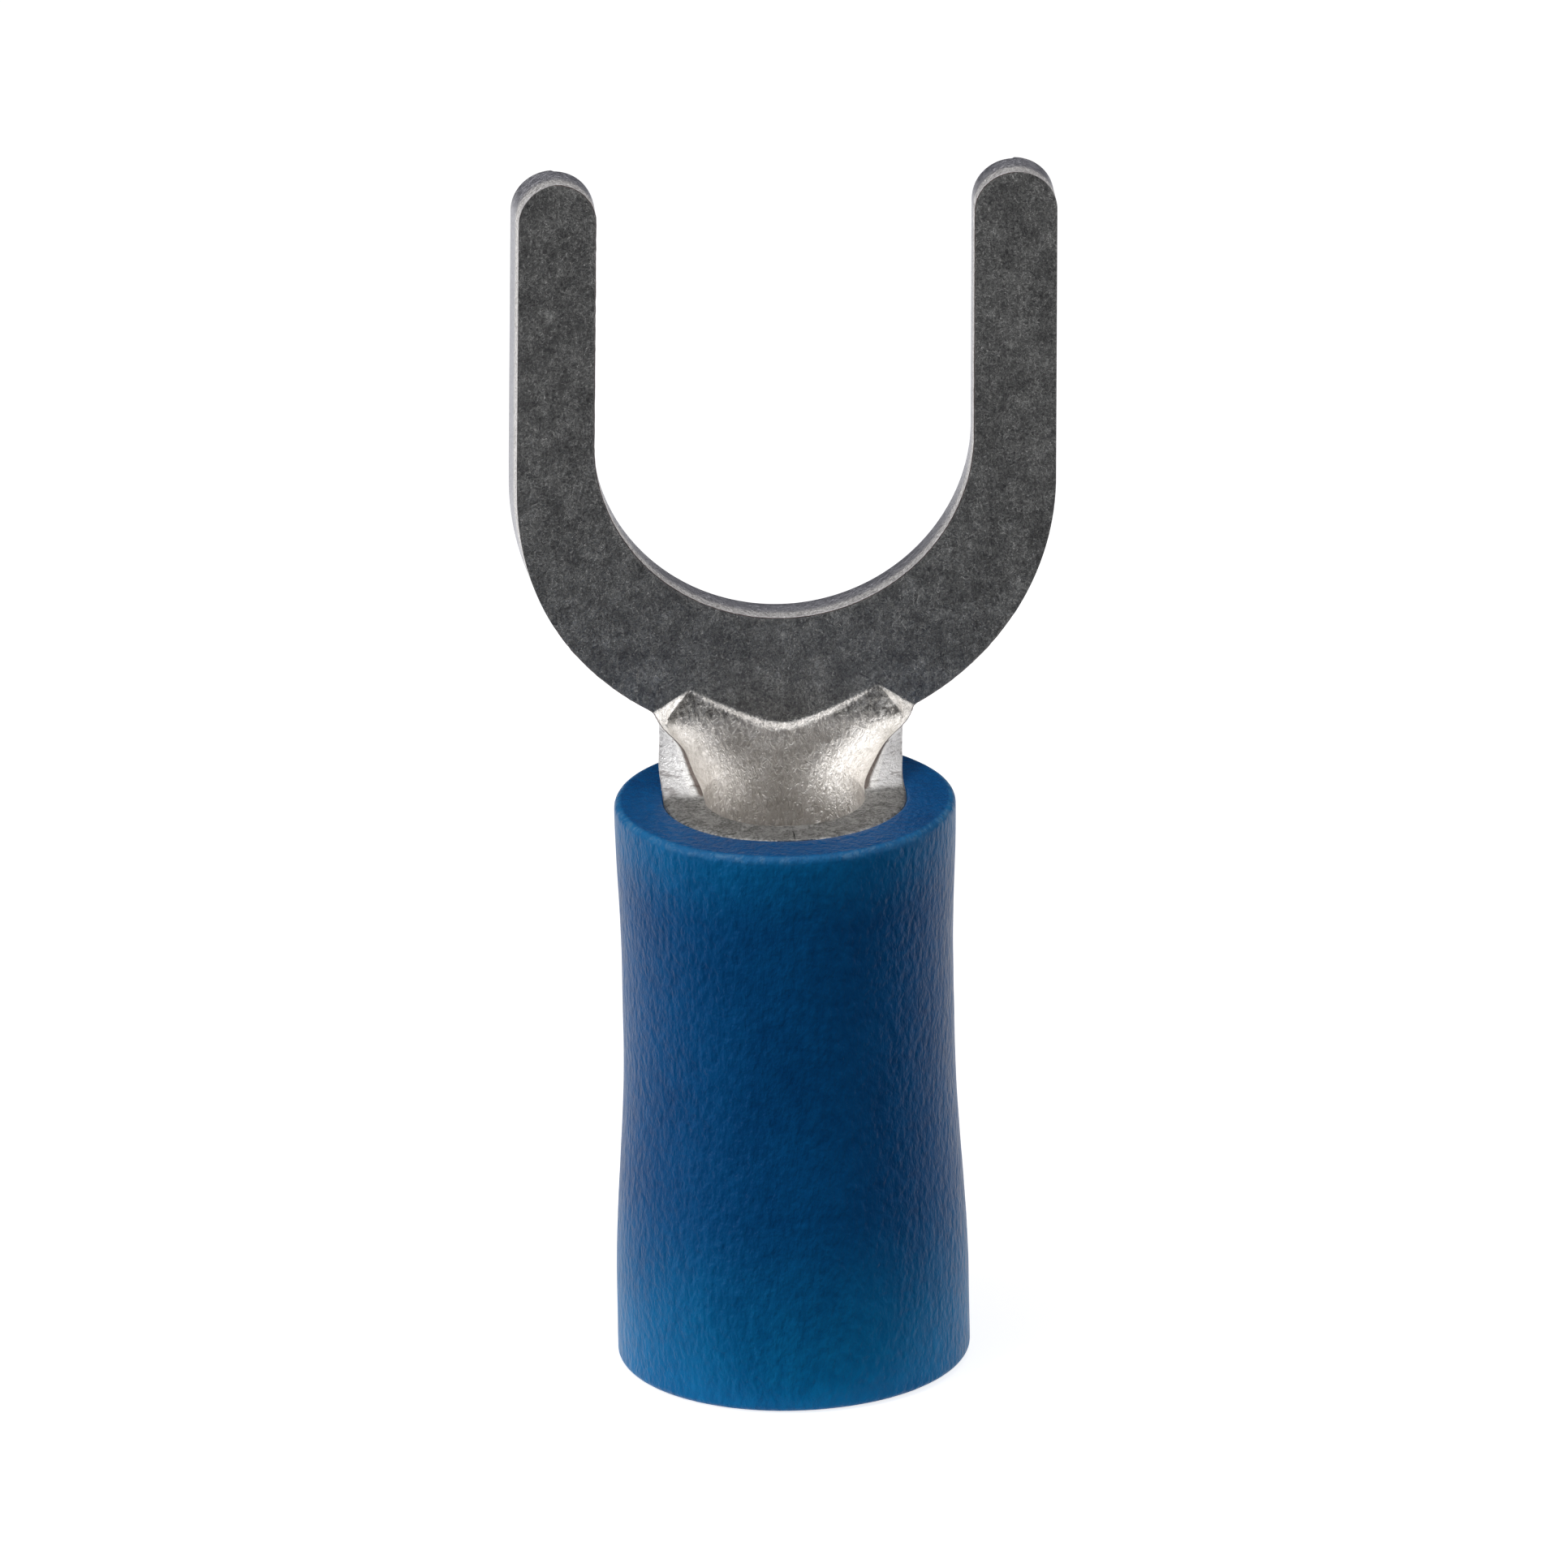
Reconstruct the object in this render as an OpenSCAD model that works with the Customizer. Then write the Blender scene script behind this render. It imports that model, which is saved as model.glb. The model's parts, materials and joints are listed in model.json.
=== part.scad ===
// Fork terminal with an insulating sleeve, standing on the sleeve's wire end.
// Z is the barrel's axis. The seam of the barrel and the open side of the neck face -Y.
// The flat fork stands behind the axis, in line with the back of the barrel.

/* [Fork] */
// Width of the slot that takes the stud
slot_w = 6.4; // [3.2:0.1:8.4]
// Width of each tine
tine_w = 1.4; // [0.9:0.1:3]
// Thickness of the coined fork
fork_t = 0.64; // [0.4:0.02:0.9]
// Height of the slot's round end, at its centre, above the barrel's end
slot_rise = 5.95; // [5:0.05:9]
// Straight length of the tines above the centre of the slot's round end
tine_l = 4.7; // [2:0.1:9]
// Drop from the centre of the slot's round end to the centre of the round shoulders
shoulder_drop = 0.9; // [0:0.1:1.5]

/* [Neck] */
// Radius of the hollow corners between the shoulders and the neck
neck_corner_r = 0.5; // [0.2:0.05:0.8]
// Height of the open channel at its middle, from the barrel's end to the flat fork
channel_h = 0.85; // [0.6:0.01:1.3]
// Rise of the channel's two lobes above its middle
lobe_rise = 0.62; // [0:0.02:0.9]
// Distance from the middle to each lobe's peak
lobe_x = 1.6; // [1:0.05:1.8]
// Share of its rise that each lobe loses between its peak and the neck's side
lobe_fall = 0.55; // [0:0.05:1]

/* [Barrel] */
// Outer diameter of the barrel
barrel_d = 4.1; // [3.4:0.1:5]
// Bore for the conductor
conductor_d = 2.7; // [1.6:0.1:2.9]
// Length of the barrel
barrel_l = 5; // [3:0.1:7]
// Width of the groove along the brazed seam
seam_w = 0.14; // [0.06:0.02:0.3]
// Depth of the groove along the brazed seam
seam_depth = 0.12; // [0.04:0.02:0.3]

/* [Sleeve] */
// Length of the sleeve, whose mouth is level with the barrel's end
sleeve_l = 10; // [8:0.1:14]
// Thickness of the sleeve's wall around the barrel at the waist
sleeve_wall = 0.75; // [0.5:0.05:1.2]
// How much the mouth is wider than the waist, on the radius
mouth_swell = 0.08; // [0:0.01:0.2]
// Height over which the mouth widens
mouth_swell_h = 2.8; // [1:0.1:2.9]
// How much the wire end is wider than the waist, on the radius
foot_swell = 0.18; // [0:0.01:0.3]
// Height at which the wire end starts to widen
foot_swell_top = 5.6; // [4:0.1:7]
// Height at which the wire end has reached its full width
foot_swell_base = 1.4; // [0.5:0.1:3]
// Radial play between the sleeve and the barrel that it is pressed on
sleeve_play = 0; // [0:0.01:0.1]
// Bore that takes the wire's insulation
insulation_d = 4.36; // [4.2:0.02:5]
// Height of the funnel between the two bores of the sleeve
funnel_h = 0.5; // [0.2:0.1:1]
// Radius of the sleeve's rim at the mouth
mouth_rim_r = 0.12; // [0.05:0.01:0.3]
// Radius of the sleeve's rim at the wire end
foot_rim_r = 0.22; // [0.05:0.01:0.4]

/* [Hidden] */

// Smoothness of round surfaces, and of the bent sheet and the sleeve's profile
$fn = 96;
BEND_STEPS = 10;
SPAN_STEPS = 24;
PROFILE_STEPS = 12;
RIM_STEPS = 5;
// Overlap of shapes that are joined, and reach of cuts past a face
JOIN = 0.15;
PAST = 1;
// How far the bent sheet's facets stay inside the barrel's and the fork's faces
INSET = 0.015;

barrel_top = sleeve_l;
barrel_base = barrel_top - barrel_l;
wall_t = (barrel_d - conductor_d) / 2;
fork_back = barrel_d / 2;

slot_z = barrel_top + slot_rise;
shoulder_z = slot_z - shoulder_drop;
fork_half_w = slot_w / 2 + tine_w;
neck_half_w = barrel_d / 2;
// Centre of the hollow corner that touches the neck's side and the round shoulder
corner_x = neck_half_w + neck_corner_r;
corner_z = shoulder_z - sqrt(pow(fork_half_w + neck_corner_r, 2) - pow(corner_x, 2));
// Where the hollow corner meets the round shoulder
corner_top_z = mix(shoulder_z, corner_z, fork_half_w / (fork_half_w + neck_corner_r));

// Half the bend's angle at the barrel, and at the fork, where it is as good as flat
HALF_TUBE = 90;
FLAT = 0.4;
// How fast the bend opens from the barrel to the fork
BEND_POWER = 1.3;

waist_r = barrel_d / 2 + sleeve_wall;
grip_r = barrel_d / 2 + sleeve_play;

// Smooth step from 0 to 1
function ease(t) = let (c = min(max(t, 0), 1)) c * c * (3 - 2 * c);

function mix(a, b, t) = a + (b - a) * t;

// Height of the channel's upper edge above the barrel's end, level past the neck's sides
function channel_top(x) =
    let (a = min(abs(x), neck_half_w))
    a < lobe_x
        ? channel_h + lobe_rise * ease(a / lobe_x)
        : channel_h + lobe_rise * (1 - lobe_fall * (a - lobe_x) / (neck_half_w - lobe_x));

// How far the neck's side stands out at one height, where it turns into the shoulder
function corner_flare(z) =
    let (rise = min(max(z - corner_z, 0), corner_top_z - corner_z))
    neck_corner_r - sqrt(pow(neck_corner_r, 2) - pow(rise, 2));

// One point of the sheet: s from -1 to 1 across it, t from 0 below the barrel's end to 1
// in the fork, and side 1 on the hollow face or -1 on the back face
function sheet_point(s, t, side) =
    let (
        top = channel_top(s * neck_half_w),
        h = mix(-JOIN, top, t),
        opened = min(max(h / (top - JOIN), 0), 1),
        angle = FLAT + (HALF_TUBE - FLAT) * pow(1 - opened, BEND_POWER),
        half_t = mix(wall_t, fork_t, opened) / 2 - INSET,
        r = (neck_half_w - INSET) / sin(angle) - half_t,
        middle = fork_back - INSET - half_t,
        widened = 1 + corner_flare(barrel_top + h) / neck_half_w
    )
    [
        widened * (r - side * half_t) * sin(s * angle),
        middle - r + (r - side * half_t) * cos(s * angle),
        barrel_top + h
    ];

// The ring of points around the sheet at one level
function sheet_ring(t) = concat(
    [for (i = [0 : SPAN_STEPS]) sheet_point(2 * i / SPAN_STEPS - 1, t, -1)],
    [for (i = [SPAN_STEPS : -1 : 0]) sheet_point(2 * i / SPAN_STEPS - 1, t, 1)]);

// The open channel: the sheet bends from half a tube at the barrel to flat at the fork
module channel() {
    n = 2 * (SPAN_STEPS + 1);
    points = [for (k = [0 : BEND_STEPS]) each sheet_ring(k / BEND_STEPS)];
    walls = [
        for (k = [0 : BEND_STEPS - 1], i = [0 : n - 1])
            let (a = k * n + i, b = k * n + (i + 1) % n)
            each [[a, b, a + n], [b, b + n, a + n]]
    ];
    foot = [
        for (i = [0 : SPAN_STEPS - 1])
            let (j = n - 1 - i)
            each [[i, j, i + 1], [i + 1, j, j - 1]]
    ];
    last = BEND_STEPS * n;
    head = [for (f = foot) [last + f[0], last + f[2], last + f[1]]];
    polyhedron(points = points, faces = concat(walls, foot, head), convexity = 6);
}

// The neck's flat stretch below the shoulders, with a hollow corner on each side
module neck() {
    translate([-neck_half_w, barrel_top])
        square([2 * neck_half_w, shoulder_z - barrel_top]);
    for (side = [-1, 1])
        difference() {
            polygon([[0, shoulder_z], [0, corner_z], [side * corner_x, corner_z]]);
            translate([side * corner_x, corner_z]) circle(r = neck_corner_r);
        }
}

// What the flat fork leaves to the channel
module below_fork() {
    edge = [
        for (i = [-SPAN_STEPS : SPAN_STEPS])
            let (x = i / SPAN_STEPS * corner_x)
            [x, barrel_top + channel_top(x) - JOIN]
    ];
    polygon(concat(edge, [[corner_x, barrel_base], [-corner_x, barrel_base]]));
}

// The outline of the flat fork, with Z as the drawing's second axis
module fork_outline() {
    difference() {
        union() {
            translate([0, shoulder_z]) circle(r = fork_half_w);
            translate([-fork_half_w, shoulder_z])
                square([2 * fork_half_w, slot_z + tine_l - tine_w / 2 - shoulder_z]);
            for (side = [-1, 1])
                translate([side * (fork_half_w - tine_w / 2), slot_z + tine_l - tine_w / 2])
                    circle(d = tine_w);
            neck();
        }
        translate([0, slot_z]) circle(d = slot_w);
        translate([-slot_w / 2, slot_z]) square([slot_w, tine_l + PAST]);
        below_fork();
    }
}

// The flat fork, coined thinner than the barrel's wall
module fork() {
    translate([0, fork_back, 0])
        rotate([90, 0, 0])
            linear_extrude(height = fork_t)
                fork_outline();
}

// The rolled barrel with its brazed seam
module barrel() {
    translate([0, 0, barrel_base])
        difference() {
            cylinder(d = barrel_d, h = barrel_l);
            translate([0, 0, -PAST]) cylinder(d = conductor_d, h = barrel_l + 2 * PAST);
            translate([0, -barrel_d / 2, -PAST])
                linear_extrude(height = barrel_l + 2 * PAST)
                    polygon([[-seam_w, -seam_depth], [seam_w, -seam_depth], [0, seam_depth]]);
        }
}

// The stamped terminal, one piece of tinned copper
module fork_terminal() {
    color("silver") {
        barrel();
        channel();
        fork();
    }
}

// Radius of the sleeve's outside at one height
function sleeve_r(z) = waist_r
    + mouth_swell * ease((z - sleeve_l + mouth_swell_h) / mouth_swell_h)
    + foot_swell * ease((foot_swell_top - z) / (foot_swell_top - foot_swell_base));

// Points of a quarter circle about a centre, from one angle to another
function rim(centre, r, from) =
    [for (i = [0 : RIM_STEPS])
        let (a = from + 90 * i / RIM_STEPS)
        centre + r * [cos(a), sin(a)]];

// Half the section of the sleeve: up its outside, and down its two bores
module sleeve_section() {
    side_base = foot_rim_r;
    side_top = sleeve_l - mouth_rim_r;
    outside = [
        for (i = [0 : PROFILE_STEPS])
            let (z = mix(side_base, side_top, i / PROFILE_STEPS))
            [sleeve_r(z), z]
    ];
    polygon(concat(
        [[insulation_d / 2, 0]],
        rim([sleeve_r(side_base) - foot_rim_r, side_base], foot_rim_r, -90),
        [for (i = [1 : PROFILE_STEPS - 1]) outside[i]],
        rim([sleeve_r(side_top) - mouth_rim_r, side_top], mouth_rim_r, 0),
        [
            [grip_r, sleeve_l],
            [grip_r, barrel_base],
            [insulation_d / 2, barrel_base - funnel_h]
        ]));
}

// The blue sleeve, tight on the barrel and wider where the wire goes in
module insulating_sleeve() {
    color("royalblue")
        rotate_extrude() sleeve_section();
}

fork_terminal();
insulating_sleeve();
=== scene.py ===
"""Looks of an insulated fork terminal: one stamped, tinned sheet and its blue PVC sleeve.

Shapes are worked out in millimetres from the frame's sizes and turned into metres at the end.
The stamped sheet is drawn flat, with x across it and h the height above the barrel's end,
and then bent: a full tube below h = 0, an open channel above it and a flat fork on top.
"""
import json
import math

import bpy
import numpy as np
from mathutils import Matrix, Vector, kdtree, noise
from mathutils.geometry import delaunay_2d_cdt


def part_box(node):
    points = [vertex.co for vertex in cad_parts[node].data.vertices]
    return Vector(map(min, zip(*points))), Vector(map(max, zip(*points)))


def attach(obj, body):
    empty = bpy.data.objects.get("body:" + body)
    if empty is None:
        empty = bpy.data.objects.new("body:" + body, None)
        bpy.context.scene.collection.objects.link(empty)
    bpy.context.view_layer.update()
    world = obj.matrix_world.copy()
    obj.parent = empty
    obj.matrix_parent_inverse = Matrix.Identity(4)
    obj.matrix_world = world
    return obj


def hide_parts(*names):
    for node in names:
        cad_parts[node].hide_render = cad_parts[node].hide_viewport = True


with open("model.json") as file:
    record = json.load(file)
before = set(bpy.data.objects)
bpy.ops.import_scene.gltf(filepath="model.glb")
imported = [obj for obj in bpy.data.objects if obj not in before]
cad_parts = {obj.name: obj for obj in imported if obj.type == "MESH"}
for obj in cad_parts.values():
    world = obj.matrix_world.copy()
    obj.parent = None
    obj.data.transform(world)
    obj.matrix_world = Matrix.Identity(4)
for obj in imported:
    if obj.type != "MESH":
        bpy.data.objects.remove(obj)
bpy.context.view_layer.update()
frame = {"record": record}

MM = 0.001
MOUNTS = {mount["name"]: mount for mount in frame["record"]["mounts"]}
METAL_LO, METAL_HI = (Vector(corner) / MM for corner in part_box("fork_terminal"))
SLEEVE_HI = Vector(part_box("insulating_sleeve")[1]) / MM

# Sizes from the frame
BARREL_R = METAL_HI.y
BARREL_TOP = SLEEVE_HI.z
BARREL_L = BARREL_TOP - METAL_LO.z
HALF_W = METAL_HI.x
TIP_H = METAL_HI.z - BARREL_TOP
SLOT_R = MOUNTS["stud_slot"]["dims"]["r_mm"]
SLOT_H = MOUNTS["stud_slot"]["pos_m"][2] / MM - BARREL_TOP
FORK_T = MOUNTS["stud_slot"]["dims"]["length_mm"]
WALL_T = BARREL_R - MOUNTS["conductor_bore"]["dims"]["r_mm"]
ENTRY_R = MOUNTS["insulation_entry"]["dims"]["r_mm"]
ENTRY_L = MOUNTS["insulation_entry"]["dims"]["length_mm"]
SLEEVE_L = SLEEVE_HI.z
SLEEVE_FOOT_R = SLEEVE_HI.x

# The round shoulders and the hollow corners below them
SHOULDER_DROP = 0.85
SHOULDER_H = SLOT_H - SHOULDER_DROP
NECK_CORNER_R = 0.5
RELIEF_R = 0.05

# The line where the coined fork ends: two peaks, a rounded dip between and falls outside
LOBE_X = 1.6
LOBE_TOP = 1.47
LOBE_SLOPE, FALL_REACH = 0.66, 1.0
DIP_H = 0.84
DIP_ROUNDING = 0.45

# The bright ledge under that line, and the corner facets, which turn in at their ends
DIP_LEDGE, PEAK_LEDGE = 0.11, 0.02
FACET_SLOPE, FACET_TURN, FACET_CURL, FACET_FOOT = 1.1, 0.33, 30, 0.86

# The bend: where the sheet is flat, and how its rims and its middle open up to there
FLAT_MARGIN = 0.12
FLAT_FROM = 1.05
OPENING_POWER = 0.7
FLATTENING = 0.45
BORE_OPENS = 0.9
RIM_POWER = 4
NECK_SPREAD, SPREAD_FADE = 0.018, 0.3

# The lobes' hollows: how much thinner the sheet is, at what height and over what reach
HOLLOW, HOLLOW_H, HOLLOW_REACH = 0.09, 0.2, 0.55

# Proud steps of the drawn channel over the coined fork
STEP_MIDDLE = 0.075
STEP_CORNER = 0.2
STEP_FADE = 0.6

# The terminal as it was made: the fork leans a little and nods towards its open side
FORK_SHIFT = 0.12
FORK_LEAN = math.tan(math.radians(0.97))
FORK_NOD = math.tan(math.radians(0.8))
LEFT_TINE_LEAN = math.tan(math.radians(0.45))
LEAN_FROM = 1.0
TINES_FROM = 5.5

# The edge that the punch left, in rings from the front face to the back face: how far each
# stands in from the outline, its share of the thickness and how rough it is
EDGE_INSET = 0.03
EDGE_PROFILE = (
    (0.005, 0.008, 0.3), (0.0, 0.03, 0.6), (0.002, 0.09, 1.0), (0.004, 0.16, 1.0),
    (0.004, 0.23, 1.0), (0.004, 0.3, 1.0), (0.003, 0.37, 0.7), (0.0, 0.44, 0.3),
    (-0.004, 0.56, 0.1), (-0.004, 0.72, 0.08), (0.0, 0.86, 0.08), (0.008, 0.95, 0.05),
)
EDGE_ROUGHNESS = 0.016
NECK_ROUGHNESS = 0.75
STREAKS_PER_MM, TEARS_PER_MM = 16, 26
STREAK_TURN, TEAR_TURN = 1.2, 20

# The front face is a little smaller than the back on the fork's top and left sides
TOP_TAPER, LEFT_TAPER = 0.04, 0.09
TAPER_FROM, TAPER_FADE = 1.0, 0.6

# The brazed seam is closed to a hairline
SEAM_GAP = 0.002
SEAM_CRISPNESS = 0.03
SEAM_FINE_FROM = -0.6

# Heights above which the sheet's back is coined and painted dark, and above which its back and
# its front get mottled patches painted dark, both a painted dark reflection; how softly each mark
# sets in, and how strong the patches are on the back
COINED_BACK_FROM, COINED_BACK_FADE = 0.9, 0.7
DARK_MOTTLE_BACK_FROM, DARK_MOTTLE_BACK_FADE, DARK_MOTTLE_BACK = 0.4, 0.7, 0.3
DARK_MOTTLE_FROM, DARK_MOTTLE_FADE = 0.78, 0.25

# The barrel's grey end ring, the neck's scraped sides, and a dark brown line along the cut's
# front edge, whose strength on the neck's sides falls from the first value below with the depth
# of the cut
RING_TOP, RING_FADE = 0.04, 0.03
NECK_FADE = 0.2
DARK_LINE_START, DARK_LINE_FALL = 1.35, 6

# Sizes of the sheet's mesh, and the least gap between its points as a share of them
FORK_STEP = 0.085
NECK_STEP = 0.036
BARREL_STEP = 0.26
NECK_LO, NECK_HI = -0.25, 1.75
LEAST_GAP, LEDGE_GAP, BORDER_GAP = 0.6, 0.62, 0.5
LEDGE_SPAN, NECK_SPAN = 1.04 * BARREL_R, 1.45 * BARREL_R
SHARP_ANGLE = math.radians(38)

# The sleeve's outside, as on the solid
MOUTH_SWELL, MOUTH_SWELL_H = 0.08, 2.8
FOOT_SWELL, FOOT_SWELL_TOP, FOOT_SWELL_BASE = 0.18, 5.6, 1.4
WAIST_R = SLEEVE_FOOT_R - FOOT_SWELL
MOUTH_RIM_R, FOOT_RIM_R, BORE_RIM_R = 0.13, 0.14, 0.06
SLEEVE_TURNS, SLEEVE_ROWS = 220, 110
ENTRY_ROWS = (3.4, 2.2, 1.0)

# How uneven it is: soft and fine swells of the outside, a wavy cut at the mouth, and a
# wire end that is cut a little askew
SOFT_SWELL, FINE_SWELL, MOUTH_WAVE = 0.012, 0.003, 0.012
FOOT_TILT = 0.025

# Where it is painted lighter: low over the wider bore, mostly for light bounced up from the
# floor, and at the open mouth, for light that comes through; and the painted highlight along the
# mouth's rim
BOUNCE_MARGIN, BOUNCE_FADE = 0.8, 3.2
MOUTH_DEPTH, MOUTH_FADE, MOUTH_SHARE = 1.5, 1.4, 0.6
HIGHLIGHT_IN, HIGHLIGHT_R = 0.04, 0.12

# The camera: angles of the photograph, a long lens, and the object's place in the frame
PHOTO_PX = 1932
PX_PER_MM = 73.14
CAMERA_AZ, CAMERA_EL, CAMERA_ROLL = -4.64, 20.65, -1.0
CAMERA_DISTANCE = 600.0
MOUTH_PX = (967.0, 982.7)
SENSOR_MM = 36.0


def smooth(t):
    """Smooth step from 0 to 1, for numbers and arrays."""
    t = np.clip(t, 0.0, 1.0)
    return t * t * (3 - 2 * t)


def mix(a, b, t):
    return a + (b - a) * t


# The camera, the light and the floor

def make_camera():
    az, el = math.radians(CAMERA_AZ), math.radians(CAMERA_EL)
    back = Vector((math.sin(az) * math.cos(el), -math.cos(az) * math.cos(el), math.sin(el)))
    right = Vector((math.cos(az), math.sin(az), 0))
    up = back.cross(right)
    turn = Matrix.Rotation(math.radians(CAMERA_ROLL), 3, back)
    right, up = turn @ right, turn @ up
    # The sleeve's mouth lies at MOUTH_PX of the photograph
    off_x = (PHOTO_PX / 2 - MOUTH_PX[0]) / PX_PER_MM
    off_y = (MOUTH_PX[1] - PHOTO_PX / 2) / PX_PER_MM
    target = Vector((0, 0, BARREL_TOP)) + right * off_x + up * off_y
    data = bpy.data.cameras.new("camera")
    data.sensor_width = SENSOR_MM
    data.lens = SENSOR_MM * CAMERA_DISTANCE / (PHOTO_PX / PX_PER_MM)
    data.clip_start, data.clip_end = 0.01, 10
    camera = bpy.data.objects.new("camera", data)
    bpy.context.collection.objects.link(camera)
    turned = Matrix((right, up, back)).transposed().to_4x4()
    camera.matrix_world = Matrix.Translation((target + back * CAMERA_DISTANCE) * MM) @ turned
    bpy.context.scene.camera = camera
    bpy.context.scene.view_settings.view_transform = "Standard"


def new_material(name):
    material = bpy.data.materials.new(name)
    material.use_nodes = True
    nodes, links = material.node_tree.nodes, material.node_tree.links
    nodes.clear()
    return material, nodes, links


def seen_directly(nodes, links):
    """1 for what the camera sees, straight, mirrored or through glass, and 0 for light."""
    path = nodes.new("ShaderNodeLightPath")
    both = nodes.new("ShaderNodeMath")
    both.operation = "MAXIMUM"
    links.new(path.outputs["Is Camera Ray"], both.inputs[0])
    links.new(path.outputs["Is Glossy Ray"], both.inputs[1])
    seen = nodes.new("ShaderNodeMath")
    seen.operation = "MAXIMUM"
    links.new(both.outputs[0], seen.inputs[0])
    links.new(path.outputs["Is Transmission Ray"], seen.inputs[1])
    return seen.outputs[0]


def make_world(ambient):
    world = bpy.data.worlds.new("studio")
    bpy.context.scene.world = world
    world.use_nodes = True
    nodes, links = world.node_tree.nodes, world.node_tree.links
    nodes.clear()
    light = nodes.new("ShaderNodeBackground")
    light.inputs["Strength"].default_value = ambient
    white = nodes.new("ShaderNodeBackground")
    pick = nodes.new("ShaderNodeMixShader")
    links.new(seen_directly(nodes, links), pick.inputs[0])
    links.new(light.outputs[0], pick.inputs[1])
    links.new(white.outputs[0], pick.inputs[2])
    links.new(pick.outputs[0], nodes.new("ShaderNodeOutputWorld").inputs[0])


def make_floor(size, glow):
    """A pale floor that is white where it is open and keeps the object's soft shadow."""
    bpy.ops.mesh.primitive_plane_add(size=size * MM, location=(0, 0, 0))
    floor = bpy.context.object
    floor.name = "floor"
    material, nodes, links = new_material("pale_floor")
    paint = nodes.new("ShaderNodeBsdfDiffuse")
    paint.inputs["Color"].default_value = (0.8, 0.8, 0.8, 1)
    lamp = nodes.new("ShaderNodeEmission")
    strength = nodes.new("ShaderNodeMath")
    strength.operation = "MULTIPLY"
    strength.inputs[1].default_value = glow
    links.new(seen_directly(nodes, links), strength.inputs[0])
    links.new(strength.outputs[0], lamp.inputs["Strength"])
    total = nodes.new("ShaderNodeAddShader")
    links.new(paint.outputs[0], total.inputs[0])
    links.new(lamp.outputs[0], total.inputs[1])
    links.new(total.outputs[0], nodes.new("ShaderNodeOutputMaterial").inputs[0])
    floor.data.materials.append(material)


def make_softbox(name, azimuth, elevation, distance, width, height, power, colour):
    """A rectangular lamp that faces the sleeve's mouth from one azimuth and elevation."""
    az, el = math.radians(azimuth), math.radians(elevation)
    back = Vector((math.sin(az) * math.cos(el), -math.cos(az) * math.cos(el), math.sin(el)))
    data = bpy.data.lights.new(name, "AREA")
    data.shape = "RECTANGLE"
    data.size, data.size_y = width * MM, height * MM
    data.energy = power
    data.color = colour
    lamp = bpy.data.objects.new(name, data)
    bpy.context.collection.objects.link(lamp)
    lamp.matrix_world = (
        Matrix.Translation((Vector((0, 0, BARREL_TOP)) + back * distance) * MM)
        @ back.to_track_quat("Z", "Y").to_matrix().to_4x4())


def make_dark_card(name, struts, tone):
    """A dark card of a product photo, out of sight, that the metal and the PVC mirror.

    It spans straight struts, each given by its two ends.
    """
    verts = [tuple(Vector(end) * MM) for strut in struts for end in strut]
    faces = [(2 * k, 2 * k + 1, 2 * k + 3, 2 * k + 2) for k in range(len(struts) - 1)]
    mesh = bpy.data.meshes.new(name)
    mesh.from_pydata(verts, [], faces)
    card = bpy.data.objects.new(name, mesh)
    bpy.context.collection.objects.link(card)
    for ray in ("camera", "shadow", "transmission", "volume_scatter"):
        setattr(card, "visible_" + ray, False)
    material, nodes, links = new_material(name)
    paint = nodes.new("ShaderNodeEmission")
    paint.inputs["Color"].default_value = (*tone, 1)
    links.new(paint.outputs[0], nodes.new("ShaderNodeOutputMaterial").inputs[0])
    mesh.materials.append(material)


def make_front_card():
    """A card that lies in front of the object, bends up in a quarter circle and rises."""
    half, flat_to, round_r, top, lift = 90.0, 60.0, 50.0, 200.0, 1.5
    # It starts beside the sleeve's foot and lies level after a short ramp
    profile = [(-3.4, 0.1), (-9.0, lift), (-flat_to, lift)]
    for k in range(1, 7):
        a = math.radians(15 * k)
        profile.append((-flat_to - round_r * math.sin(a), lift + round_r * (1 - math.cos(a))))
    profile.append((-flat_to - round_r, top))
    struts = [((-half, y, z), (half, y, z)) for y, z in profile]
    make_dark_card("front_card", struts, (0.1, 0.1, 0.105))


def make_back_card():
    """A card that stands behind the object, with a wing on each side."""
    half, behind, wing_end, foot, top = 140, 90, 12, 2, 160
    plan = [(-half, wing_end), (-half, behind), (half, behind), (half, wing_end)]
    struts = [((x, y, foot), (x, y, top)) for x, y in plan]
    make_dark_card("back_card", struts, (0.07, 0.07, 0.085))


# The stamped sheet: its lines and its bends

def neck_corner():
    """Centre of the hollow corner, and the height where it meets the round shoulder."""
    x = BARREL_R + NECK_CORNER_R
    reach = HALF_W + NECK_CORNER_R
    h = SHOULDER_H - math.sqrt(reach ** 2 - x ** 2)
    return x, h, mix(SHOULDER_H, h, HALF_W / reach)


CORNER_X, CORNER_H, CORNER_TOP = neck_corner()


def widened(h):
    """How much wider than the barrel the neck is at one height, as a factor."""
    rise = np.clip(h - CORNER_H, 0, CORNER_TOP - CORNER_H)
    return 1 + (NECK_CORNER_R - np.sqrt(NECK_CORNER_R ** 2 - rise ** 2)) / BARREL_R


def ledge_top(x):
    """The line where the coined fork ends: two peaks, a dip between and falls outside."""
    a = np.abs(x)
    rise = np.hypot(np.minimum(a, LOBE_X), DIP_ROUNDING) - DIP_ROUNDING
    share = rise / (math.hypot(LOBE_X, DIP_ROUNDING) - DIP_ROUNDING)
    inner = mix(DIP_H, LOBE_TOP, share)
    return inner - LOBE_SLOPE * np.clip(a - LOBE_X, 0, FALL_REACH)


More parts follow.
